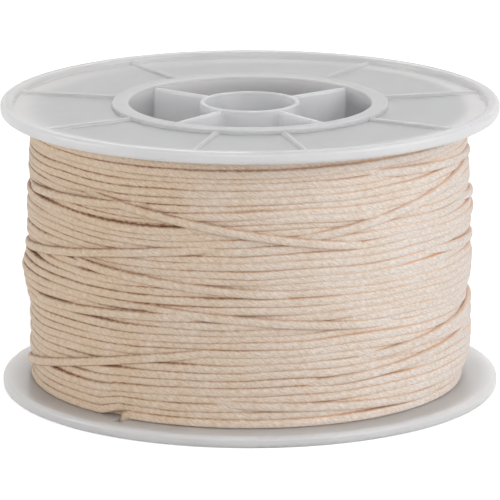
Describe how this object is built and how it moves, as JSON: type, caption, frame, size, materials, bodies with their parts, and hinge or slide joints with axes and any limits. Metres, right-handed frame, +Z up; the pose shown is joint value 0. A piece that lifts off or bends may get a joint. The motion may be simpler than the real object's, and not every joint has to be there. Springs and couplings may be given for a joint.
{
  "type": "waxed thread spool",
  "caption": "Round plastic reel in two snap-fitted halves with ribbed flanges and a webbed hub, wound full of pale waxed cotton cord.",
  "frame": {"origin": "centre of the lower rim's crest plane, on the axis of the bore", "axes": "+Z up along the bore's axis, -Y towards the front, where the cord's end is tucked a little to the left"},
  "size_m": [0.072, 0.072, 0.0422],
  "materials": {
    "reel_plastic": "moulded white-grey plastic, satin",
    "waxed_cord": "braided cotton with a thin coat of wax"
  },
  "bodies": {
    "root": {"upper_half": "reel_plastic", "lower_half": "reel_plastic", "cord_inner_layers": "waxed_cord", "cord_outer_layer": "waxed_cord"}
  },
  "joints": []
}
